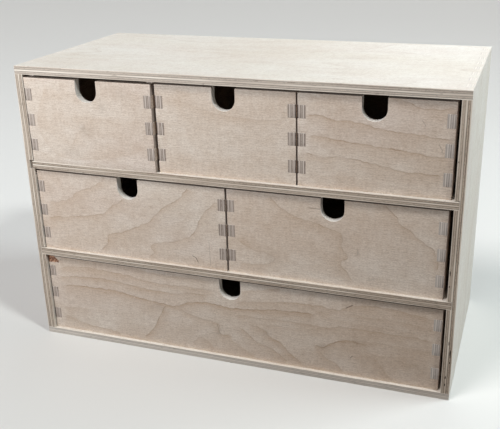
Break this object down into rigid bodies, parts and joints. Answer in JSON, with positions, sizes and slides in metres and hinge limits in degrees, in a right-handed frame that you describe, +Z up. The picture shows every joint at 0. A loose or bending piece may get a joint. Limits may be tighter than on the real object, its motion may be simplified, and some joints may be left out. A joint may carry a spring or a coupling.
{
  "type": "desktop mini drawers",
  "caption": "Small birch plywood chest with finger-jointed, open-topped drawers in rows, each pulled by a U-shaped notch in its front.",
  "frame": {"origin": "middle of the underside of the case", "axes": "+X to the right seen from the front, +Y from front to back, +Z up"},
  "size_m": [0.42, 0.202, 0.285],
  "materials": {
    "case_plywood": "bare sanded birch plywood, pale faces, layered edges",
    "shelf_plywood": "bare birch plywood, layered front edge",
    "back_plywood": "bare thin birch plywood",
    "drawer_front_plywood": "bare sanded birch plywood with growth figure",
    "drawer_plywood": "bare birch plywood, layered finger ends",
    "drawer_bottom_plywood": "bare thin birch plywood"
  },
  "bodies": {
    "case": {"top_panel": "case_plywood", "base_panel": "case_plywood", "left_side_panel": "case_plywood", "right_side_panel": "case_plywood", "upper_shelf": "shelf_plywood", "lower_shelf": "shelf_plywood", "back_panel": "back_plywood"},
    "top_left_drawer": {"top_left_drawer_front": "drawer_front_plywood", "top_left_drawer_back": "drawer_plywood", "top_left_drawer_left_side": "drawer_plywood", "top_left_drawer_right_side": "drawer_plywood", "top_left_drawer_bottom": "drawer_bottom_plywood"},
    "top_middle_drawer": {"top_middle_drawer_front": "drawer_front_plywood", "top_middle_drawer_back": "drawer_plywood", "top_middle_drawer_left_side": "drawer_plywood", "top_middle_drawer_right_side": "drawer_plywood", "top_middle_drawer_bottom": "drawer_bottom_plywood"},
    "top_right_drawer": {"top_right_drawer_front": "drawer_front_plywood", "top_right_drawer_back": "drawer_plywood", "top_right_drawer_left_side": "drawer_plywood", "top_right_drawer_right_side": "drawer_plywood", "top_right_drawer_bottom": "drawer_bottom_plywood"},
    "middle_left_drawer": {"middle_left_drawer_front": "drawer_front_plywood", "middle_left_drawer_back": "drawer_plywood", "middle_left_drawer_left_side": "drawer_plywood", "middle_left_drawer_right_side": "drawer_plywood", "middle_left_drawer_bottom": "drawer_bottom_plywood"},
    "middle_right_drawer": {"middle_right_drawer_front": "drawer_front_plywood", "middle_right_drawer_back": "drawer_plywood", "middle_right_drawer_left_side": "drawer_plywood", "middle_right_drawer_right_side": "drawer_plywood", "middle_right_drawer_bottom": "drawer_bottom_plywood"},
    "bottom_drawer": {"bottom_drawer_front": "drawer_front_plywood", "bottom_drawer_back": "drawer_plywood", "bottom_drawer_left_side": "drawer_plywood", "bottom_drawer_right_side": "drawer_plywood", "bottom_drawer_bottom": "drawer_bottom_plywood"}
  },
  "joints": [
    {"name": "top_left_drawer_slide", "type": "slide", "parent": "case", "child": "top_left_drawer", "axis": [0, -1, 0], "range_m": [-0.003, 0.15]},
    {"name": "top_middle_drawer_slide", "type": "slide", "parent": "case", "child": "top_middle_drawer", "axis": [0, -1, 0], "range_m": [0, 0.15]},
    {"name": "top_right_drawer_slide", "type": "slide", "parent": "case", "child": "top_right_drawer", "axis": [0, -1, 0], "range_m": [0, 0.15]},
    {"name": "middle_left_drawer_slide", "type": "slide", "parent": "case", "child": "middle_left_drawer", "axis": [0, -1, 0], "range_m": [-0.0008, 0.15]},
    {"name": "middle_right_drawer_slide", "type": "slide", "parent": "case", "child": "middle_right_drawer", "axis": [0, -1, 0], "range_m": [0, 0.15]},
    {"name": "bottom_drawer_slide", "type": "slide", "parent": "case", "child": "bottom_drawer", "axis": [0, -1, 0], "range_m": [0, 0.15]}
  ]
}
